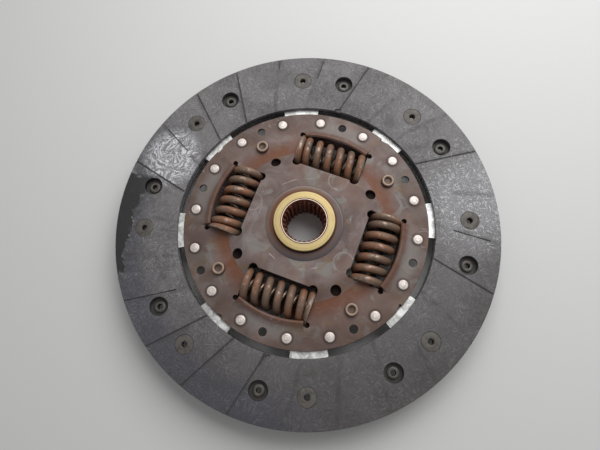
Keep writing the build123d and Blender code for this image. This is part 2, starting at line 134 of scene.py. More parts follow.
# Hub and bushes.
BARREL_R = 17.0
BLANK_BORE = 10.2
FLANGE_R = 57.5
STOP_SLOT_R = 48.9
STOP_SLOT_START = 33.5
STOP_SLOT_SWEEP = 23.0
TEETH = 26
TOOTH_ROOT_R = 12.1
TOOTH_TIP_R = 10.55
LEAD_R = 12.25
LEAD_DEPTH = 3.9
RIM_GROOVE = (12.75, 13.15)
RIM_GROOVE_DEPTH = 0.4
BUSH_BORE = 17.05
BUSH_R = PLATE_BORE - 0.02
BUSH_FLANGE_R = 28.0
BUSH_FLANGE = 1.4

# The stage, in metres, with turns in degrees.
LAMP_PLACE = (0.04, 0.35, 0.45)
LAMP_SIZE = 0.5
LAMP_POWER = 3.1
CAMERA_PLACE = (0.03206, -0.05994, 0.2608)
CAMERA_TURNS = (15.391, 2.618, 20.977)
CAMERA_LENS = 27.0
CAMERA_SENSOR = 36.0
FLOOR_SIZE = 3.0
SOFT_LIGHT = 0.3
PALE_BACKGROUND = 0.62

# How finely a piece is finished: points nearer than this are merged, in millimetres,
# and edges sharper than this stay sharp, in degrees.
MERGE = 0.002
SMOOTH_BELOW = 32.0


# Working shapes


def everything(bm):
    """All of a shape."""
    return bm.verts[:] + bm.edges[:] + bm.faces[:]


def points_of(parts):
    """The points among some parts of a shape."""
    return [part for part in parts if isinstance(part, bmesh.types.BMVert)]


def outline(corners, closed=True):
    """A wire of (radius, height) corners, with a third number where a corner is rounded."""
    bm = bmesh.new()
    points = [bm.verts.new((corner[0], 0, corner[1])) for corner in corners]
    nexts = points[1:] + points[:1] if closed else points[1:]
    for point, following in zip(points, nexts):
        bm.edges.new((point, following))
    for point, corner in zip(points, corners):
        if len(corner) > 2:
            bmesh.ops.bevel(
                bm,
                geom=[point],
                offset=corner[2],
                offset_type="OFFSET",
                segments=3,
                profile=0.5,
                affect="VERTICES",
                material=-1,
            )
    return bm


def turned(corners, steps=96, start=0.0, sweep=360.0, closed=True):
    """An outline turned about the bore; part of a turn has its ends filled."""
    bm = outline(corners, closed)
    rotate(bm, start)
    full = sweep == 360.0
    bmesh.ops.spin(
        bm,
        geom=bm.verts[:] + bm.edges[:],
        cent=(0, 0, 0),
        axis=(0, 0, 1),
        angle=radians(sweep),
        steps=steps,
        use_merge=full,
    )
    bmesh.ops.remove_doubles(bm, verts=bm.verts, dist=0.001)
    if not full:
        bmesh.ops.holes_fill(bm, edges=bm.edges, sides=0)
    bmesh.ops.recalc_face_normals(bm, faces=bm.faces)
    return bm


def rotate(bm, angle, axis="Z", points=None):
    """Turn a shape, or some of its points, about the bore or another axis."""
    turn = Matrix.Rotation(radians(angle), 3, axis)
    bmesh.ops.rotate(bm, verts=points or bm.verts, cent=(0, 0, 0), matrix=turn)
    return bm


def shift(bm, x=0.0, y=0.0, z=0.0):
    """Move a shape."""
    bmesh.ops.translate(bm, verts=bm.verts, vec=(x, y, z))
    return bm


def flipped(bm, level):
    """Mirror a shape about a level, for the rear side."""
    bmesh.ops.scale(bm, verts=bm.verts, vec=(1, 1, -1))
    bmesh.ops.reverse_faces(bm, faces=bm.faces)
    return shift(bm, z=2 * level)


def round_the_bore(bm, angles):
    """A copy of a shape at each angle about the bore."""
    first = everything(bm)
    points = bm.verts[:]
    for angle in angles[1:]:
        copy = bmesh.ops.duplicate(bm, geom=first)["geom"]
        rotate(bm, angle, points=points_of(copy))
    return rotate(bm, angles[0], points=points)


def spaced(count, start=0.0):
    """Even angles about the bore."""
    return [start + 360.0 * step / count for step in range(count)]


def gathered(shapes):
    """Several shapes as one."""
    whole = bmesh.new()
    for bm in shapes:
        mesh = bpy.data.meshes.new("part")
        bm.to_mesh(mesh)
        bm.free()
        whole.from_mesh(mesh)
        bpy.data.meshes.remove(mesh)
    return whole


def block(x, y, z):
    """A box given as its ends along each axis."""
    bm = bmesh.new()
    bmesh.ops.create_cube(bm, size=1)
    bmesh.ops.scale(bm, verts=bm.verts, vec=(x[1] - x[0], y[1] - y[0], z[1] - z[0]))
    return shift(bm, (x[0] + x[1]) / 2, (y[0] + y[1]) / 2, (z[0] + z[1]) / 2)


def pin(radius, low, high, x=0.0, y=0.0, sides=40):
    """A round bar on its own axis."""
    bm = bmesh.new()
    bmesh.ops.create_cone(
        bm, cap_ends=True, segments=sides, radius1=radius, radius2=radius, depth=high - low
    )
    return shift(bm, x, y, (low + high) / 2)


def cut_off(bm, point, outward):
    """A shape cut flat through a point, without what lies outward of it."""
    bmesh.ops.bisect_plane(bm, geom=everything(bm), plane_co=point, plane_no=outward, clear_outer=True)
    bmesh.ops.holes_fill(bm, edges=bm.edges, sides=0)
    return bm


def loose(name, bm):
    """A shape as an object of its own."""
    mesh = bpy.data.meshes.new(name)
    bm.to_mesh(mesh)
    bm.free()
    obj = bpy.data.objects.new(name, mesh)
    bpy.context.scene.collection.objects.link(obj)
    return obj


def machined(bm, tool, operation="DIFFERENCE"):
    """A shape with a tool's shape cut away, added or kept."""
    blank = loose("blank", bm)
    cutter = loose("cutter", tool)
    step = blank.modifiers.new("step", "BOOLEAN")
    step.operation = operation
    step.solver = "EXACT"
    step.object = cutter
    ready = blank.evaluated_get(bpy.context.evaluated_depsgraph_get())
    mesh = bpy.data.meshes.new_from_object(ready)
    done = bmesh.new()
    done.from_mesh(mesh)
    bpy.data.meshes.remove(mesh)
    for spare in (blank, cutter):
        spare_mesh = spare.data
        bpy.data.objects.remove(spare)
        bpy.data.meshes.remove(spare_mesh)
    return done


def eased(bm, width, least, segments):
    """Round the edges of a shape that turn by more than a least angle."""
    bm.normal_update()
    edges = [e for e in bm.edges if len(e.link_faces) == 2 and e.calc_face_angle() > radians(least)]
    bmesh.ops.bevel(
        bm,
        geom=edges,
        offset=width,
        offset_type="OFFSET",
        segments=segments,
        profile=0.5,
        affect="EDGES",
        clamp_overlap=True,
        material=-1,
    )
    return bm


def piece(name, bm, body, finish, nodes):
    """A finished piece in metres, which rides on a body and stands for CAD nodes."""
    bmesh.ops.remove_doubles(bm, verts=bm.verts, dist=MERGE)
    bmesh.ops.dissolve_degenerate(bm, dist=MERGE, edges=bm.edges)
    bmesh.ops.scale(bm, verts=bm.verts, vec=(MM, MM, MM))
    obj = loose(name, bm)
    obj.data.shade_smooth()
    obj.data.set_sharp_from_angle(angle=radians(SMOOTH_BELOW))
    obj.data.materials.append(finish)
    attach(obj, body)
    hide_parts(*nodes)
    return obj


# Finishes


class Signal:
    """A value on its way through a finish; arithmetic on it adds Math nodes."""

    def __init__(self, finish, socket):
        self.finish = finish
        self.socket = socket

    def math(self, operation, first, second=0.0, clamp=False):
        """One Math node."""
        settings = {"operation": operation, "use_clamp": clamp}
        return self.finish.node("Math", settings, {0: first, 1: second})

    def __add__(self, other):
        return self.math("ADD", self, other)

    def __radd__(self, other):
        return self.math("ADD", other, self)

    def __sub__(self, other):
        return self.math("SUBTRACT", self, other)

    def __rsub__(self, other):
        return self.math("SUBTRACT", other, self)

    def __mul__(self, other):
        return self.math("MULTIPLY", self, other)

    def __rmul__(self, other):
        return self.math("MULTIPLY", other, self)

    def __truediv__(self, other):
        return self.math("DIVIDE", self, other)

    def __rtruediv__(self, other):
        return self.math("DIVIDE", other, self)

    def __pow__(self, other):
        return self.math("POWER", self, other)

    def __abs__(self):
        return self.math("ABSOLUTE", self)

    def held(self):
        """The value kept from 0 to 1."""
        return self.math("ADD", self, 0.0, clamp=True)

    def least(self, other):
        """The lower of two values."""
        return self.math("MINIMUM", self, other)

    def most(self, other):
        """The higher of two values."""
        return self.math("MAXIMUM", self, other)

    def beside(self, output):
        """Another output of the node that this value comes from."""
        return Signal(self.finish, self.socket.node.outputs[output])


class Finish:
    """The nodes of one material or world, their patterns laid out in millimetres from the bore."""

    def __init__(self, name, kept_in=None):
        kept_in = bpy.data.materials if kept_in is None else kept_in
        self.owner = kept_in.new(name)
        self.owner.use_nodes = True
        self.tree = self.owner.node_tree
        self.tree.nodes.clear()
        self.places = self.node("TexCoord", {}, {}, "Object")

    def node(self, kind, settings, inputs, output=0):
        """Any node: its settings first, then the values or links of its sockets."""
        node = self.tree.nodes.new("ShaderNode" + kind)
        for name, value in settings.items():
            setattr(node, name, value)
        for name, value in inputs.items():
            if isinstance(value, Signal):
                self.tree.links.new(value.socket, node.inputs[name])
            else:
                node.inputs[name].default_value = value
        return Signal(self, node.outputs[output]) if node.outputs else None

    def axes(self):
        """x, y and z in millimetres."""
        scaled = self.node("VectorMath", {"operation": "SCALE"}, {0: self.places, "Scale": 1 / MM})
        x = self.node("SeparateXYZ", {}, {0: scaled}, "X")
        return x, x.beside("Y"), x.beside("Z")

    def reach(self, x, y):
        """Distance from a middle."""
        return (x * x + y * y) ** 0.5

    def bearing(self, x, y):
        """Angle round the bore, in degrees."""
        return self.node("Math", {"operation": "ARCTAN2"}, {0: y, 1: x}) * (180 / pi)

    def folded(self, angle, step, start=0.0):
        """The angle from the nearest of evenly spaced places round the bore."""
        # the half puts a place in the middle of its step, and whole steps change nothing
        turns = (angle - start) / step + 24.5
        return (self.node("Math", {"operation": "FRACT"}, {0: turns}) - 0.5) * step

    def rivet_distance(self, r, angle):
        """Distance from the nearest segment rivet."""
        aside = abs(self.folded(angle, SEGMENT_STEP, SEGMENT_START)) - SEGMENT_RIVET_ANGLE
        return self.reach(aside * r * (pi / 180), r - SEGMENT_RIVET_CIRCLE)

    def noise(self, size, detail=2.0, roughness=0.5, distortion=0.0):
        """Cloudy variation with features about this many millimetres across."""
        inputs = {
            "Vector": self.places,
            "Scale": 1 / (size * MM),
            "Detail": detail,
            "Roughness": roughness,
            "Distortion": distortion,
        }
        return self.node("TexNoise", {}, inputs, "Fac")

    def ramp(self, value, low, high, start=0.0, end=1.0):
        """A value eased from start to end as it goes from low to high."""
        inputs = {"Value": value, "From Min": low, "From Max": high, "To Min": start, "To Max": end}
        return self.node("MapRange", {"interpolation_type": "SMOOTHSTEP"}, inputs)

    def threads(self, size, width, distortion, detail=1.0):
        """Thin curly lines: 1 on a line, and 0 away from it."""
        off = abs(self.noise(size, detail, 0.5, distortion) - 0.5)
        return self.ramp(off, 0.0, width, 1.0, 0.0)

    def strokes(self, bundle, length, width, seed=0.0):
        """Short fibres lying side by side in bundles, each bundle at its own angle."""
        drift = {"Vector": self.places, "Scale": 1 / (6 * MM), "Detail": 1.0}
        bend = self.node("TexNoise", {}, drift, "Color")
        bend = self.node("VectorMath", {"operation": "SCALE"}, {0: bend, "Scale": bundle * MM})
        place = self.node("VectorMath", {"operation": "ADD"}, {0: self.places, 1: bend})
        place = self.node("VectorMath", {"operation": "ADD"}, {0: place, 1: (seed, seed, 0)})
        cell = self.node("TexVoronoi", {}, {"Vector": place, "Scale": 1 / (bundle * MM)}, "Color")
        lean = self.node("SeparateColor", {}, {0: cell}, 0) * tau
        laid = self.node("VectorRotate", {"rotation_type": "Z_AXIS"}, {"Vector": place, "Angle": lean})
        shape = (1 / (length * MM), 1 / (width * MM), 0.0)
        laid = self.node("VectorMath", {"operation": "MULTIPLY"}, {0: laid, 1: shape})
        return self.node("TexNoise", {}, {"Vector": laid, "Scale": 1.0, "Detail": 1.5}, "Fac")

    def mix(self, share, first, second):
        """Two colours mixed; 6 and 7 are the Mix node's colours, and 2 is what comes out."""
        return self.node("Mix", {"data_type": "RGBA"}, {"Factor": share, 6: first, 7: second}, 2)

    def patch(self, x, y, centre, size, angle=0.0, soft=0.35):
        """1 inside an oval on the disc, fading to 0 past its edge."""
        turn = Matrix.Rotation(radians(-angle), 2)
        across = ((x - centre[0]) * turn[0][0] + (y - centre[1]) * turn[0][1]) / size[0]
        along = ((x - centre[0]) * turn[1][0] + (y - centre[1]) * turn[1][1]) / size[1]
        return self.ramp(across * across + along * along, 1 - soft, 1 + soft, 1.0, 0.0)

    def surface(self, colour, metallic, roughness, bump=None, depth=0.1, **fixed):
        """The shader, its bump in millimetres."""
        inputs = {"Base Color": colour, "Metallic": metallic, "Roughness": roughness}
        inputs.update({name.replace("_", " "): value for name, value in fixed.items()})
        if bump:
            inputs["Normal"] = self.node(
                "Bump", {}, {"Height": bump, "Distance": depth * MM, "Strength": 1.0}, "Normal"
            )
        shader = self.node("BsdfPrincipled", {}, inputs, "BSDF")
        self.node("OutputMaterial", {}, {"Surface": shader})
        return self.owner


def tint(red, green, blue):
    """A colour as it is seen on a screen, 0 to 255, made linear."""
    shares = [channel / 255 for channel in (red, green, blue)]
    linear = [part / 12.92 if part <= 0.04 else ((part + 0.055) / 1.055) ** 2.4 for part in shares]
    return (*linear, 1.0)


def place_at(radius, angle):
    """A point on the disc."""
    return Vector((radius, 0)) @ Matrix.Rotation(radians(angle), 2).transposed()


def friction_lining():
    """Woven friction lining, glazed and scratched by the flywheel, dirty in its grooves and holes, with
    painted sheen on its polished stretch and glaze and painted shade on its near side.
    """
    f = Finish("friction_lining")
    x, y, z = f.axes()
    r = f.reach(x, y)
    angle = f.bearing(x, y)
    clouds = f.noise(26, 4, 0.6, 0.6)
    mottle = f.noise(5, 5, 0.65, 1.2)
    speck = f.noise(0.9, 2, 0.6)
    weave = f.strokes(4.4, 4.2, 0.62)
    nap = f.strokes(2.8, 2.8, 0.42, 0.3)
    fibres = f.ramp(weave.most(nap), 0.46, 0.74)
    flecks = f.ramp(weave * nap, 0.26, 0.42)
    seams = f.ramp(weave.least(nap), 0.28, 0.46, 1.0, 0.0)
    patchy = f.ramp(f.noise(15, 3, 0.6, 0.8), 0.38, 0.64)
    grey = f.mix(f.ramp(clouds, 0.36, 0.64), tint(78, 74, 74), tint(105, 102, 103))
    grey = f.mix(f.ramp(mottle, 0.35, 0.7) * 0.5, grey, tint(116, 114, 115))
    grey = f.mix(f.ramp(speck, 0.5, 0.75) * 0.3, grey, tint(50, 48, 49))
    grey = f.mix(seams * 0.3, grey, tint(58, 55, 56))
    # the near side is darker, partly the lining's own tone and partly painted shade where the lamp's
    # light falls off; it is bluish towards the rim
    low = f.ramp(x * 0.48 - y * 0.87, 0, 90)
    grey = f.mix(low * 0.72, grey, tint(60, 56, 56))
    blue = f.ramp(y * -0.75 - x * 0.66, 25, 75) * f.ramp(r + clouds * 14, 92, 104)
    grey = f.mix(blue * 0.65, grey, tint(57, 57, 68))
    # a polished stretch on one side and a crumpled glaze on the other, both lightened with painted sheen
    # for the lamp's reflection; their lower roughness and bump are their own
    front = f.ramp(z, PACK_MIDDLE - 0.1, PACK_MIDDLE + 0.1)
    polish_and_sheen = f.ramp(abs(angle - 29), 3, 24, 1.0, 0.0) * f.ramp(r, 74, 80, 0.6, 1.0) * front
    glaze_and_glint = f.patch(x, y, place_at(89, 173), (15, 17), 0, 0.55) * front
    crumple = f.ramp(f.strokes(6.2, 5.0, 1.05, 0.7), 0.42, 0.66)
    crumple = crumple.most(f.threads(9, 0.03, 1.5, 3.0))
    grey = f.mix((polish_and_sheen * 0.4).most(glaze_and_glint * 0.4), grey, tint(150, 150, 153))
    # the fibres and flecks are dimmed by the painted shade on the near side and lightened by painted
    # sheen on the polished stretch
    faint = 1 - low * 0.55
    fibre_tone_and_sheen = (fibres * (faint * (0.08 + patchy * 0.12) + polish_and_sheen * 0.5)).held()
    grey = f.mix(fibre_tone_and_sheen, grey, tint(178, 178, 181))
    bright = (flecks * (faint * (0.05 + patchy * 0.1) + polish_and_sheen * 0.75)).held()
    grey = f.mix(bright, grey, tint(214, 214, 216))
    # painted glints on the crumples of the glaze
    grey = f.mix(glaze_and_glint * crumple * 0.9, grey, tint(218, 218, 224))
    # dirt along the groove places, in the grooves and in the rivet holes
    slant = angle - GROOVE_START - (FACING_R - r) * (GROOVE_SLANT / (FACING_R - FACING_BORE))
    off = abs(f.folded(slant, GROOVE_STEP)) * r * (pi / 180)
    trace = f.ramp(off, 0.3, 2.1, 1.0, 0.0) * f.ramp(f.noise(8, 2), 0.36, 0.6)
    depth = FACE - PACK_MIDDLE - abs(z - PACK_MIDDLE)
    on_face = f.ramp(r, FACING_BORE, FACING_BORE + 0.6) * f.ramp(r, FACING_R - 0.6, FACING_R, 1.0, 0.0)
    hollow = f.ramp(depth, 0.05, 0.3) * on_face
    grey = f.mix((trace * 0.5 + hollow * 0.8).held(), grey, tint(52, 49, 50))
    # oil burnt on at the rim, with pale chipped edges
    aside = f.folded(angle, 360.0, 199.0)
    inward = r - 98.5 - aside * 0.33 + (f.noise(9, 5, 0.65, 0.8) - 0.5) * 16
    spill = f.ramp(abs(aside + clouds * 5 - 2.5), 15.5, 18, 1.0, 0.0) * front
    grey = f.mix(f.ramp(inward, -6, 1) * spill * 0.5, grey, tint(52, 51, 55))
    oil = f.ramp(inward, -0.5, 0.7) * spill
    edge = (oil * (1 - oil) * 4).held() * f.ramp(f.noise(3, 4, 0.6), 0.5, 0.6)
    grey = f.mix(oil * 0.95, grey, tint(20, 20, 22))
    grey = f.mix(edge * 0.5, grey, tint(160, 158, 158))
    rough = 0.62 - polish_and_sheen * 0.18 - glaze_and_glint * 0.28 - fibres * 0.08 + speck * 0.08 - oil * 0.12
    height = fibres * (0.5 + polish_and_sheen * 0.5) + mottle * 0.8 + speck * 0.35 + crumple * glaze_and_glint * 2.2
    return f.surface(grey, 0.0, rough, height, 0.1)


def cushion_steel():
    """Spring steel, bright at the bare necks, dark with dust between the facings, and darkened with
    painted shadow where it runs under the plate's edge.
    """
    f = Finish("cushion_steel")
    x, y, _ = f.axes()
    r = f.reach(x, y)
    smears = f.noise(5, 4, 0.6, 1.0)
    fine = f.threads(1.6, 0.05, 0.5)
    dusty = f.ramp(r, 73.0, 75.0)
    steel = f.mix(f.ramp(smears, 0.38, 0.66), tint(176, 176, 174), tint(236, 238, 236))
    steel = f.mix(fine * 0.2, steel, tint(120, 118, 114))
    # painted shadow: darkened where the segment runs in under the plate's edge
    steel = f.mix(f.ramp(r, 68.2, 69.4, 0.95, 0.0), steel, tint(46, 37, 33))
    steel = f.mix(dusty, steel, f.mix(smears, tint(46, 43, 41), tint(74, 70, 66)))
    rough = 0.38 + smears * 0.2 + dusty * 0.2
    return f.surface(steel, 0.55 - dusty * 0.4, rough, smears, 0.05)


def lining_rivet_steel():
    """Dull, oily steel of the tubular rivets in the facings."""
    f = Finish("lining_rivet_steel")
    smears = f.noise(3.5, 4, 0.6, 0.8)
    fine = f.noise(0.7, 2)
    steel = f.mix(f.ramp(smears, 0.3, 0.7), tint(70, 66, 63), tint(98, 93, 88))
    steel = f.mix(f.ramp(fine, 0.5, 0.8) * 0.4, steel, tint(60, 56, 55))
    return f.surface(steel, 0.35, 0.52 + smears * 0.1, fine, 0.04)


def bright_rivet_steel():
    """Bare silvery rivet heads, ringed by the riveting tool."""
    f = Finish("bright_rivet_steel")
    x, y, _ = f.axes()
    out = f.rivet_distance(f.reach(x, y), f.bearing(x, y))
    smears = f.noise(1.8, 3, 0.6)
    steel = f.mix(f.ramp(smears, 0.4, 0.7), tint(214, 206, 200), tint(188, 176, 169))
    steel = f.mix(f.ramp(abs(out - 1.5), 0.1, 0.5, 0.35, 0.0), steel, tint(150, 134, 126))
    steel = f.mix(f.ramp(out, 2.35, SEGMENT_RIVET_R, 0.0, 0.6), steel, tint(128, 112, 104))
    return f.surface(steel, 0.45, 0.4 + smears * 0.12, smears, 0.03)


def stop_rivet_steel():
    """Brown rivet heads, with a painted highlight on their rolled rims and painted shade low in their
    hollows and round their feet.
    """
    f = Finish("stop_rivet_steel")
    _, _, z = f.axes()
    stain = f.noise(2.4, 4, 0.6, 0.6)
    brown = f.mix(f.ramp(stain, 0.35, 0.68), tint(92, 70, 60), tint(122, 100, 88))
    over = abs(z - DAMPER_MIDDLE) - (RIM - DAMPER_MIDDLE)
    # painted highlight: the rolled rim at the top of each head is lightened
    rim = f.ramp(over, 1.9, 2.5)
    brown = f.mix(rim * 0.7, brown, tint(172, 152, 134))
    # painted shade: each head is darkened low down, in its hollow and round its foot
    sunk_shade = f.ramp(over, 0.6, 1.6, 0.6, 0.0)
    brown = f.mix(sunk_shade, brown, tint(56, 42, 36))
    return f.surface(brown, 0.35, 0.4 + stain * 0.2, stain, 0.05)


def tinted_plate_steel():
    """Pressed steel, brown and purple from heat, with a rusty band at the foot of the dish."""
    f = Finish("tinted_plate_steel")
    x, y, z = f.axes()
    r = f.reach(x, y)
    angle = f.bearing(x, y)
    clouds = f.noise(17, 4, 0.55, 0.8)
    drift = f.noise(34, 2, 0.5, 0.5)
    stain = f.noise(6, 5, 0.6, 0.8)
    speck = f.noise(1.0, 2, 0.6)
    steel = f.mix(f.ramp(clouds, 0.35, 0.68), tint(96, 80, 76), tint(124, 111, 108))
    steel = f.mix(f.ramp(drift, 0.42, 0.68) * 0.5, steel, tint(112, 84, 73))
    steel = f.mix(f.ramp(stain, 0.52, 0.75) * 0.35, steel, tint(84, 66, 60))
    worn = f.ramp(f.noise(13, 4, 0.55, 0.9), 0.53, 0.62)
    steel = f.mix(worn * 0.6, steel, tint(126, 125, 120))
    straw = f.ramp(f.noise(10, 4, 0.55, 0.6), 0.55, 0.66)
    steel = f.mix(straw * 0.55, steel, tint(114, 92, 68))
    rim = f.ramp(r, 55.0, 60.0)
    steel = f.mix(rim * (0.25 + 0.35 * f.ramp(f.noise(12, 3), 0.35, 0.6)), steel, tint(84, 66, 58))
    band = f.ramp(r, DISH_FOOT - 1.0, DISH_FOOT + 0.6) * f.ramp(r, 46.5, 55, 1.0, 0.0)
    band = band * f.ramp(f.noise(9, 3, 0.6, 0.6), 0.25, 0.6, 0.55, 1.0)
    steel = f.mix(band * 0.92, steel, tint(104, 61, 37))
    # rubbed grey behind the lips, and rusty rings round the rivets
    window = abs(f.folded(angle, WINDOW_STEP))
    rubbed = f.ramp(window, 9, 21, 1.0, 0.0) * f.ramp(r, 55.5, 58) * f.ramp(r, 62, 67, 1.0, 0.0)
    steel = f.mix(rubbed * 0.6, steel, tint(124, 118, 114))
    folded_lip = f.ramp(window, 19, 22, 1.0, 0.0) * f.ramp(z, RIM + 0.5, RIM + 1.6) * f.ramp(r, 52, 53)
    steel = f.mix(folded_lip * f.ramp(stain, 0.3, 0.6, 0.3, 0.7), steel, tint(108, 74, 58))
    fret = f.ramp(f.rivet_distance(r, angle), 2.9, 4.6, 0.75, 0.0)
    steel = f.mix(fret, steel, tint(62, 44, 38))
    # rings left by a press tool, and scuffs round the bush
    for middle in PRESS_MARKS:
        centre = place_at(*middle)
        ring = abs(f.reach(x - centre[0], y - centre[1]) - PRESS_MARK_R)
        mark = f.ramp(ring, 0.1, 0.55, 1.0, 0.0) * f.ramp(stain, 0.38, 0.55)
        steel = f.mix(mark * 0.4, steel, tint(166, 156, 154))
    scuff = f.ramp(abs(r - 24.4 - clouds * 3), 0.1, 0.5, 1.0, 0.0) * f.ramp(f.noise(9, 1), 0.5, 0.6)
    scratches = f.threads(11, 0.007, 1.0, 0.0) * f.ramp(f.noise(6, 1), 0.52, 0.62)
    steel = f.mix((scratches + scuff).held() * 0.42, steel, tint(182, 172, 170))
    steel = f.mix(f.ramp(speck, 0.55, 0.8) * 0.25, steel, tint(74, 60, 56))
    rough = 0.58 + stain * 0.12 - clouds * 0.1
    return f.surface(steel, 0.2, rough, stain * 0.7 + speck * 0.35, 0.07, Specular_IOR_Level=0.4)


def burnt_spring_steel():
    """Spring wire tempered brown, with painted shade inside the coils, a painted highlight along the
    crests and its ground ends rubbed bright.
    """
    f = Finish("burnt_spring_steel")
    x, y, z = f.axes()
    r = f.reach(x, y)
    turn = f.folded(f.bearing(x, y), WINDOW_STEP) * (pi / 180)
    out = r * f.node("Math", {"operation": "COSINE"}, {0: turn}) - SPRING_CIRCLE
    end = abs(r * f.node("Math", {"operation": "SINE"}, {0: turn}))
    up = z - DAMPER_MIDDLE
    clouds = f.noise(9, 3, 0.55, 0.5)
    stain = f.noise(3, 4, 0.6, 0.6)
    brown = f.mix(f.ramp(clouds, 0.35, 0.65), tint(104, 84, 70), tint(130, 87, 61))
    brown = f.mix(f.ramp(stain, 0.5, 0.72) * 0.5, brown, tint(86, 68, 58))
    # painted highlight along the crests, the top of each coil; the ground ends are rubbed bright
    worn = f.ramp(up, 8.6, 9.9) * f.ramp(f.noise(2.2, 3, 0.6), 0.46, 0.62)
    worn = worn.most(f.ramp(end, 18.2, 19.3) * f.ramp(f.noise(1.2, 3, 0.6), 0.36, 0.6))
    brown = f.mix(worn * 0.5, brown, tint(172, 158, 146))
    # painted shade: the wire darkens towards the spring's axis, inside the coils
    inside = f.ramp(f.reach(out, up), 5.8, 8.6, 0.85, 0.0)
    brown = f.mix(inside, brown, tint(38, 29, 25))
    metal = 0.15 + worn * 0.5
    rough = 0.58 + stain * 0.16 - worn * 0.2
    return f.surface(brown, metal, rough, stain, 0.05, Coat_Weight=0.08, Coat_Roughness=0.25)


def inner_spring_steel():
    """Wire of the inner springs, shiny with oil."""
    f = Finish("inner_spring_steel")
    stain = f.noise(2.5, 4, 0.6, 0.6)
    wire = f.mix(f.ramp(stain, 0.4, 0.7), tint(104, 88, 78), tint(164, 148, 134))
    return f.surface(wire, 0.6, 0.26 + stain * 0.15, stain, 0.04)


def bush_finish():
    """The bush: rusty against the hub, with painted shade of the hub's shadow leaving one side dark and
    purple, and a painted highlight along its collar's edge on the far side.
    """
    f = Finish("bush_finish")
    x, y, _ = f.axes()
    r = f.reach(x, y)
    clouds = f.noise(7, 3, 0.5, 0.8)
    # painted shade: the side away from the lamp, in the hub's shadow, is darker and purple-grey; the
    # rust below is weighted by it too
    side = f.ramp(y * 0.5 - x * 0.87 + clouds * 6, -8, 16)
    brown = f.mix(side, tint(84, 75, 76), tint(116, 98, 88))
    brown = f.mix(f.ramp(clouds, 0.4, 0.7) * 0.3, brown, tint(74, 66, 72))
    rust = f.ramp(r, 18.4, 20.9, 1.0, 0.0) * (0.45 + side * 0.55)
    brown = f.mix(rust.held(), brown, tint(94, 51, 22))
    # painted highlight along the collar's outer edge on the far side
    pale = f.ramp(abs(r - 21.0), 0.1, 0.5, 0.5, 0.0) * f.ramp(y, -4, 14)
    brown = f.mix(pale, brown, tint(150, 138, 132))
    return f.surface(brown, 0.1, 0.5 + clouds * 0.15, clouds, 0.05)


def hub_finish():
    """The hub: a straw-coloured turned end with a painted highlight on its inner rim and painted shade
    in the groove beside it, rust in the bore, and near-black elsewhere, partly dirt and partly painted
    shade.
    """
    f = Finish("hub_finish")
    x, y, z = f.axes()
    r = f.reach(x, y)
    turning = {"W": r * 2.6, "Scale": 1.0, "Detail": 3.0}
    rings = f.node("TexNoise", {"noise_dimensions": "1D"}, turning, "Fac")
    clouds = f.noise(7, 3, 0.55, 0.6)
    stain = f.noise(2.2, 4, 0.6, 0.5)
    # near-black for the rest of the hub: partly dirt, partly painted shade for the parts seen only
    # through holes and gaps
    dark = f.mix(f.ramp(clouds, 0.35, 0.7), tint(30, 22, 19), tint(46, 36, 31))
    straw = f.mix(f.ramp(rings, 0.35, 0.65), tint(180, 158, 106), tint(204, 184, 134))
    straw = f.mix(f.ramp(clouds, 0.4, 0.7) * 0.4, straw, tint(176, 146, 104))
    rust = f.mix(f.ramp(stain, 0.35, 0.7), tint(84, 46, 36), tint(146, 88, 68))
    high = abs(z - HUB_END / 2)
    end = f.ramp(high, HUB_END / 2 - 0.75, HUB_END / 2 - 0.55)
    bore = f.ramp(r, LEAD_R - 0.1, LEAD_R, 1.0, 0.0)
    # painted highlight on the thin inner rim at the bore's edge, and painted shade in the groove beside
    # it
    lip = f.ramp(abs(r - 12.45), 0.17, 0.22, 1.0, 0.0) * end
    groove_shade = f.ramp(abs(r - 12.85), 0.16, 0.3, 1.0, 0.0) * end
    colour = f.mix(end, dark, straw)
    colour = f.mix(groove_shade, colour, tint(58, 38, 28))
    colour = f.mix(lip, colour, tint(226, 204, 192))
    colour = f.mix(bore, colour, rust)
    rough = (0.85 - (end + bore).held() * 0.4) + stain * 0.15
    return f.surface(colour, end * 0.4, rough, rings * 0.4 + stain * 0.3, 0.05, Specular_IOR_Level=0.25)


def stage_floor():
    """A plain pale floor."""
    f = Finish("stage_floor")
    return f.surface(tint(212, 212, 211), 0.0, 0.8)


# Facings


def groove_tool(place, inner, outer, width):
    """The cutter of one slanted groove, between two distances from the bore."""
    outside = Vector((FACING_R, 0, 0))
    inside = Matrix.Rotation(radians(GROOVE_SLANT), 3, "Z") @ Vector((FACING_BORE, 0, 0))
    run = outside - inside
    near = (inner - FACING_BORE) / (FACING_R - FACING_BORE) * run.length
    far = (outer - FACING_BORE) / (FACING_R - FACING_BORE) * run.length
    bm = block((near, far), (-width / 2, width / 2), (FACE - GROOVE_DEPTH, FACE + 1))
    floor = [point for point in bm.verts if point.co.z < FACE]
    bmesh.ops.scale(bm, verts=floor, vec=(1, 0.7, 1))
    rotate(bm, degrees(atan2(run.y, run.x)))
    shift(bm, inside.x, inside.y)
    return rotate(bm, GROOVE_START + GROOVE_STEP * place)


def chip_tool(place):
    """The broken-out corner at a groove's inner end."""
    bm = bmesh.new()
    bmesh.ops.create_cone(bm, cap_ends=True, segments=3, radius1=2.1, radius2=2.9, depth=1.6)
    bmesh.ops.scale(bm, verts=bm.verts, vec=(1.0, 1.15, 1.0))
    shift(bm, FACING_BORE + 0.7, 0, FACE + 0.1)
    return rotate(bm, GROOVE_START + GROOVE_STEP * place + GROOVE_SLANT)


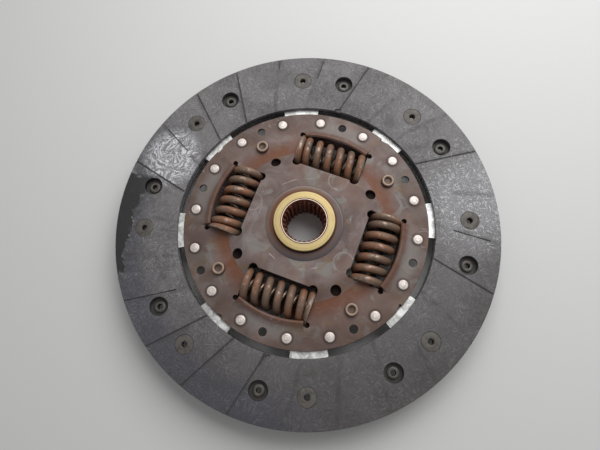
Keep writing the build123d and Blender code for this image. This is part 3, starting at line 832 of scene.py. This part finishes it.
def facing(seat_start, window_start, full, worn, chipped):
    """A ring of lining at the front's level with its rivet seats, open holes and grooves."""
    ring = turned(
        [
            (FACING_BORE, SHEET),
            (FACING_BORE, FACE, 0.15),
            (FACING_R, FACE, 0.25),
            (FACING_R, SHEET),
        ],
        steps=240,
    )
    seat = turned(
        [
            (0, SHEET - 1),
            (SEAT_HOLE_R, SHEET - 1),
            (SEAT_HOLE_R, FACE - SEAT_DEPTH),
            (SEAT_R, FACE - SEAT_DEPTH),
            (SEAT_R, FACE - 0.15),
            (SEAT_R + 0.2, FACE + 0.05),
            (SEAT_R + 0.2, FACE + 1),
            (0, FACE + 1),
        ],
        steps=56,
        closed=False,
    )
    window = turned(
        [
            (0, SHEET - 1),
            (SEAT_R, SHEET - 1),
            (SEAT_R, FACE - 0.2),
            (SEAT_R + 0.25, FACE + 0.05),
            (SEAT_R + 0.25, FACE + 1),
            (0, FACE + 1),
        ],
        steps=56,
        closed=False,
    )
    seats = round_the_bore(shift(seat, RIVET_CIRCLE), spaced(8, seat_start))
    windows = round_the_bore(shift(window, RIVET_CIRCLE), spaced(8, window_start))
    ring = machined(ring, gathered([seats, windows]))
    tools = [groove_tool(place, 70, 110, FULL_GROOVE_WIDTH) for place in full]
    tools += [groove_tool(*place_and_ends, WORN_GROOVE_WIDTH) for place_and_ends in worn]
    ring = machined(ring, gathered(tools))
    if chipped:
        ring = machined(ring, gathered([chip_tool(place) for place in chipped]))
    return ring


def lining_rivets(angle):
    """Tubular rivets with flat heads in the facing and rolled tails behind the sheet."""
    top = FACE - 0.12
    under = top - 1.0
    tail = SHEET - 0.8
    rivet = turned(
        [
            (LINING_TUBE_R, tail - 1.0),
            (LINING_TUBE_R, top - 0.35),
            (1.9, top, 0.12),
            (LINING_HEAD_R, top, 0.12),
            (LINING_HEAD_R, under),
            (LINING_SHANK_R, under),
            (LINING_SHANK_R, tail),
            (3.3, tail - 0.15),
            (3.3, tail - 0.75, 0.25),
            (2.2, tail - 1.15, 0.25),
        ],
        steps=48,
    )
    return round_the_bore(shift(rivet, RIVET_CIRCLE), spaced(8, angle))


# Plates


def window_tool():
    """The spring window on the +X axis: straight inside with rounded corners, arched outside."""
    opening = pin(WINDOW_R, SHEET - 3, DISH + 3, sides=240)
    for side in (-1, 1):
        cut_off(opening, (0, side * WINDOW_HALF, 0), (0, side, 0))
    cut_off(opening, (WINDOW_X, 0, 0), (-1, 0, 0))
    bmesh.ops.recalc_face_normals(opening, faces=opening.faces)
    for side in (-1, 1):
        corner_y = side * (WINDOW_HALF - WINDOW_CORNER_R - 0.05)
        corner = pin(WINDOW_CORNER_R, SHEET - 4, DISH + 4, WINDOW_X + 1, corner_y)
        opening = machined(opening, corner, "UNION")
    return opening


def lip():
    """The strip bent up over a spring at the window's outer edge."""
    half = degrees(asin((WINDOW_HALF - 0.75) / WINDOW_R))
    return turned(
        [
            (WINDOW_R + 0.3, SHEET, 1.2),
            (WINDOW_R - 3.0, DISH_UNDER + 0.1, 0.3),
            (WINDOW_R - 1.9, DISH_UNDER + 1.35, 0.45),
            (WINDOW_R + 1.7, RIM, 2.0),
            (WINDOW_R + 3.4, RIM),
            (WINDOW_R + 3.4, SHEET),
        ],
        steps=36,
        start=-half,
        sweep=2 * half,
    )


def windowed_plate(rim, crack_stops):
    """A dished plate at the front's level with its windows and lips."""
    plate = turned(
        [
            (rim, SHEET, 0.3),
            (rim, RIM, 0.3),
            (DISH_FOOT, RIM, 1.6),
            (DISH_TOP, DISH, 2.2),
            (PLATE_BORE, DISH, 0.1),
            (PLATE_BORE, DISH_UNDER),
            (DISH_TOP - 0.45, DISH_UNDER, 1.8),
            (DISH_FOOT - 0.45, SHEET, 2.0),
        ],
        steps=240,
    )
    plate = machined(plate, round_the_bore(window_tool(), spaced(4)))
    plate = machined(plate, round_the_bore(lip(), spaced(4)), "UNION")
    if crack_stops:
        aside = degrees(asin((WINDOW_HALF + 0.75) / CRACK_STOP_CIRCLE))
        stops = []
        for start in (aside, -aside):
            stop = pin(CRACK_STOP_R, SHEET - 2, DISH, CRACK_STOP_CIRCLE, sides=24)
            stops.append(round_the_bore(stop, spaced(4, start)))
        plate = machined(plate, gathered(stops))
    return plate


def front_plate():
    """The plate that carries the segments, with its holes and rim notches."""
    plate = windowed_plate(PLATE_R, True)
    rim_hole = pin(RIM_HOLE_R, SHEET - 2, DISH, SEGMENT_RIVET_CIRCLE, sides=32)
    slope_hole = pin(SLOPE_HOLE_R, SHEET - 2, DISH + 2, SLOPE_HOLE_CIRCLE)
    notch = bmesh.new()
    bmesh.ops.create_cone(
        notch, cap_ends=True, segments=3, radius1=NOTCH_SIZE, radius2=NOTCH_SIZE, depth=8
    )
    eased(notch, NOTCH_ROUND, least=80, segments=4)
    rotate(notch, 180)
    bmesh.ops.scale(notch, verts=notch.verts, vec=(0.7, 0.95, 1))
    shift(notch, PLATE_R + 1.2, 0, RIM)
    holes = gathered(
        [
            round_the_bore(rim_hole, spaced(8)),
            round_the_bore(slope_hole, spaced(4, WINDOW_STEP / 2)),
            round_the_bore(notch, spaced(4, NOTCH_START)),
        ]
    )
    return machined(plate, holes)


def segment_rivets():
    """Low heads over the plate, and their tails under the segments."""
    rivet = turned(
        [
            (0, RIM + 1.05),
            (1.1, RIM + 1.05, 0.1),
            (1.45, RIM + 0.95, 0.1),
            (2.2, RIM + 0.95, 0.3),
            (SEGMENT_RIVET_R, RIM + 0.45, 0.3),
            (SEGMENT_RIVET_R, RIM - 0.1),
            (1.6, RIM - 0.1),
            (1.6, SEGMENT_UNDER),
            (2.4, SEGMENT_UNDER),
            (2.4, SEGMENT_UNDER - 0.8, 0.2),
            (0, SEGMENT_UNDER - 1.1),
        ],
        steps=32,
        closed=False,
    )
    sides = (-SEGMENT_RIVET_ANGLE, SEGMENT_RIVET_ANGLE)
    angles = [middle + side for middle in spaced(8, SEGMENT_START) for side in sides]
    return round_the_bore(shift(rivet, SEGMENT_RIVET_CIRCLE), angles)


def stop_rivets():
    """Shouldered rivets between the plates, with hollow rolled heads."""
    half = [
        (0, RIM + 0.7),
        (1.6, RIM + 0.9),
        (1.9, RIM + 2.0, 0.35),
        (2.9, RIM + 2.5, 0.5),
        (STOP_HEAD_R, RIM + 1.9, 0.5),
        (STOP_HEAD_R, RIM),
        (STOP_NECK_R, RIM),
        (STOP_NECK_R, SHEET),
        (STOP_SHOULDER_R, SHEET),
    ]
    rear = [(corner[0], 2 * DAMPER_MIDDLE - corner[1], *corner[2:]) for corner in reversed(half)]
    rivet = turned(half + rear, steps=40, closed=False)
    return round_the_bore(shift(rivet, STOP_CIRCLE), spaced(4, STOP_ANGLE))


# Springs


def coil(outer, wire, runs, hand, start, sides=20, per_turn=36):
    """A coil spring about its own Y axis, wound to one hand in runs, with ground ends."""
    mean = (outer - wire) / 2
    bm = bmesh.new()
    climb = sum(turns * pitch for turns, pitch in runs)
    place = Matrix.Translation((0, -climb / 2, mean)) @ Matrix.Rotation(pi / 2, 4, "Y")
    bmesh.ops.create_circle(bm, cap_ends=False, segments=sides, radius=wire / 2, matrix=place)
    rotate(bm, start, "Y")
    last = bm.verts[:] + bm.edges[:]
    for turns, pitch in runs:
        steps = max(1, round(turns * per_turn))
        last = bmesh.ops.spin(
            bm,
            geom=last,
            cent=(0, 0, 0),
            axis=(0, 1, 0),
            dvec=(0, turns * pitch / steps, 0),
            angle=hand * tau * turns,
            steps=steps,
        )["geom_last"]
    bmesh.ops.remove_doubles(bm, verts=bm.verts, dist=0.001)
    bmesh.ops.holes_fill(bm, edges=bm.edges, sides=0)
    bmesh.ops.recalc_face_normals(bm, faces=bm.faces)
    for side in (-1, 1):
        cut_off(bm, (0, side * SPRING_END, 0), (0, side, 0))
    rotate(bm, 180)
    return shift(bm, SPRING_CIRCLE, 0, DAMPER_MIDDLE)


def damper_springs(finish, inner_finish):
    """Four springs in the windows, each with a smaller one inside wound the other way."""
    for number, angle in enumerate(spaced(4), 1):
        outer = coil(SPRING_OUTSIDE, SPRING_WIRE, SPRING_RUNS, 1, SPRING_START)
        inner = coil(INNER_OUTSIDE, INNER_WIRE, INNER_RUNS, -1, INNER_START, sides=14, per_turn=28)
        for name, node, bm, slot, look in (
            ("damper_coil", "damper_spring", outer, "spring_steel", finish),
            ("inner_coil", "inner_spring", inner, "inner_spring_steel", inner_finish),
        ):
            rotate(bm, angle)
            obj = piece(f"{name}_{number}", bm, "springs", look, [f"{node}_{number}"])
            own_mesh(obj)


# Hub and bushes


def spline_tool():
    """The bore between its driving teeth."""
    bm = bmesh.new()
    half = 180 / TEETH
    corners = (
        (TOOTH_ROOT_R, -half * 0.625),
        (TOOTH_TIP_R, -half * 0.325),
        (TOOTH_TIP_R, half * 0.325),
        (TOOTH_ROOT_R, half * 0.625),
        (TOOTH_ROOT_R, half * 1.375),
    )
    spots = [bm.verts.new(Matrix.Rotation(radians(a), 3, "Z") @ Vector((r, 0, -1))) for r, a in corners]
    for first, second in zip(spots, spots[1:]):
        bm.edges.new((first, second))
    bmesh.ops.spin(
        bm,
        geom=everything(bm),
        cent=(0, 0, 0),
        axis=(0, 0, 1),
        angle=tau * (TEETH - 1) / TEETH,
        steps=TEETH - 1,
        use_duplicate=True,
    )
    bmesh.ops.remove_doubles(bm, verts=bm.verts, dist=0.01)
    bmesh.ops.contextual_create(bm, geom=bm.edges)
    grown = bmesh.ops.extrude_face_region(bm, geom=bm.faces[:])["geom"]
    bmesh.ops.translate(bm, verts=points_of(grown), vec=(0, 0, HUB_END + 2))
    bmesh.ops.recalc_face_normals(bm, faces=bm.faces)
    return bm


def hub():
    """The splined hub with its four-lobed flange."""
    barrel = turned(
        [
            (BLANK_BORE, 0),
            (BARREL_R, 0, 0.5),
            (BARREL_R, HUB_END, 0.5),
            (BLANK_BORE, HUB_END),
        ],
        steps=128,
    )
    flange = pin(FLANGE_R, FLANGE_UNDER, FLANGE_TOP, sides=192)
    low = FLANGE_UNDER - 3
    high = FLANGE_TOP + 3
    window = block((WINDOW_X - 1.3, 70), (-WINDOW_HALF, WINDOW_HALF), (low, high))
    slot = turned(
        [(STOP_SLOT_R, low), (60, low), (60, high), (STOP_SLOT_R, high)],
        steps=12,
        start=STOP_SLOT_START,
        sweep=STOP_SLOT_SWEEP,
    )
    flange = machined(flange, round_the_bore(window, spaced(4)))
    flange = machined(flange, round_the_bore(slot, spaced(4)))
    whole = machined(barrel, flange, "UNION")
    whole = machined(whole, spline_tool())
    return machined(whole, gathered([lead_tool(), flipped(lead_tool(), HUB_END / 2)]))


def lead_tool():
    """The steep lead into an end of the bore, and the groove that leaves a thin rim round it."""
    lead = turned(
        [
            (0, HUB_END - LEAD_DEPTH),
            (10.5, HUB_END - LEAD_DEPTH),
            (LEAD_R, HUB_END - 0.3),
            (LEAD_R, HUB_END + 1),
            (0, HUB_END + 1),
        ],
        steps=96,
        closed=False,
    )
    inner, outer = RIM_GROOVE
    floor = HUB_END - RIM_GROOVE_DEPTH
    groove = turned([(inner, floor), (outer, floor), (outer, HUB_END + 1), (inner, HUB_END + 1)])
    return gathered([lead, groove])


def bush():
    """A bush in a plate's bore at the front's level, its collar domed."""
    return turned(
        [
            (BUSH_BORE, DISH_UNDER - BUSH_FLANGE),
            (BUSH_BORE, DISH + 0.9, 0.25),
            (18.2, DISH + 1.2, 0.6),
            (20.4, DISH + 0.75, 0.6),
            (BUSH_R, DISH - 0.05),
            (BUSH_R, DISH_UNDER),
            (BUSH_FLANGE_R, DISH_UNDER),
            (BUSH_FLANGE_R, DISH_UNDER - BUSH_FLANGE),
        ],
        steps=128,
    )


# Everything in its place


def build():
    """Make every piece and finish every part that stays."""
    lining = friction_lining()
    rivet_steel = lining_rivet_steel()
    bright = bright_rivet_steel()
    plate_steel = tinted_plate_steel()
    brown_bush = bush_finish()
    front_ring = facing(FRONT_RIVETS, REAR_RIVETS, FULL_GROOVES, WORN_GROOVES, CHIPPED_GROOVES)
    rear_ring = flipped(facing(REAR_RIVETS, FRONT_RIVETS, REAR_GROOVES, (), ()), PACK_MIDDLE)
    rear_rivets = flipped(lining_rivets(REAR_RIVETS), PACK_MIDDLE)
    rear_plate = flipped(windowed_plate(REAR_PLATE_R, False), DAMPER_MIDDLE)
    rear_bush = flipped(bush(), DAMPER_MIDDLE)
    for name, shape, body, slot, finish, node in (
        ("worn_front_facing", front_ring, "disc", "friction_lining", lining, "front_facing"),
        ("worn_rear_facing", rear_ring, "disc", "friction_lining", lining, "rear_facing"),
        ("front_lining_rivets", lining_rivets(FRONT_RIVETS), "disc", "facing_rivet", rivet_steel,
         "front_facing_rivets"),
        ("rear_lining_rivets", rear_rivets, "disc", "facing_rivet", rivet_steel, "rear_facing_rivets"),
        ("front_plate_pressing", front_plate(), "disc", "plate_steel", plate_steel, "front_plate"),
        ("rear_plate_pressing", rear_plate, "disc", "plate_steel", plate_steel, "rear_plate"),
        ("segment_rivet_domes", segment_rivets(), "disc", "steel_rivet", bright, "segment_rivets"),
        ("rolled_stop_rivets", stop_rivets(), "disc", "steel_rivet", stop_rivet_steel(), "stop_rivets"),
        ("front_bush_collar", bush(), "disc", "bush", brown_bush, "front_guide_bush"),
        ("rear_bush_collar", rear_bush, "disc", "bush", brown_bush, "rear_guide_bush"),
        ("splined_hub", hub(), "hub", "hub_steel", hub_finish(), "hub"),
    ):
        piece(name, shape, body, finish, [node])
    damper_springs(burnt_spring_steel(), inner_spring_steel())
    segment_steel = cushion_steel()
    kept = {f"cushion_segment_{number}": segment_steel for number in range(1, 9)}
    kept.update(cone_spring=plate_steel, friction_ring=brown_bush)
    for node, finish in kept.items():
        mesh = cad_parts[node].data
        mesh.materials.clear()
        mesh.materials.append(finish)


def studio():
    """Plain soft light from all round, seen as a pale background."""
    f = Finish("studio", bpy.data.worlds)
    camera_ray = f.node("LightPath", {}, {}, "Is Camera Ray")
    seen = camera_ray
    for ray in ("Is Glossy Ray", "Is Transmission Ray"):
        seen = seen.most(camera_ray.beside(ray))
    white = (1.0, 1.0, 1.0, 1.0)
    soft = f.node("Background", {}, {"Color": white, "Strength": SOFT_LIGHT})
    pale = f.node("Background", {}, {"Color": white, "Strength": PALE_BACKGROUND})
    light = f.node("MixShader", {}, {0: seen, 1: soft, 2: pale})
    f.node("OutputWorld", {}, {"Surface": light})
    return f.owner


def stage():
    """The pale floor, the soft lamp and the camera."""
    bm = bmesh.new()
    bmesh.ops.create_grid(bm, x_segments=1, y_segments=1, size=FLOOR_SIZE)
    floor = loose("stage_floor", bm)
    floor.data.materials.append(stage_floor())
    scene = bpy.context.scene
    scene.world = studio()
    lamp("window_lamp", LAMP_PLACE, LAMP_SIZE, LAMP_POWER)
    camera = bpy.data.cameras.new("camera")
    camera.lens = CAMERA_LENS
    camera.sensor_width = CAMERA_SENSOR
    holder = bpy.data.objects.new("camera", camera)
    holder.location = CAMERA_PLACE
    holder.rotation_euler = [radians(turn) for turn in CAMERA_TURNS]
    scene.collection.objects.link(holder)
    scene.camera = holder
    scene.view_settings.view_transform = "Standard"


def lamp(name, place, size, power):
    """A large soft lamp aimed at the disc."""
    light = bpy.data.lights.new(name, "AREA")
    light.size = size
    light.energy = power
    obj = bpy.data.objects.new(name, light)
    obj.location = place
    obj.rotation_euler = (-Vector(place)).to_track_quat("-Z", "Y").to_euler()
    bpy.context.scene.collection.objects.link(obj)


build()
stage()
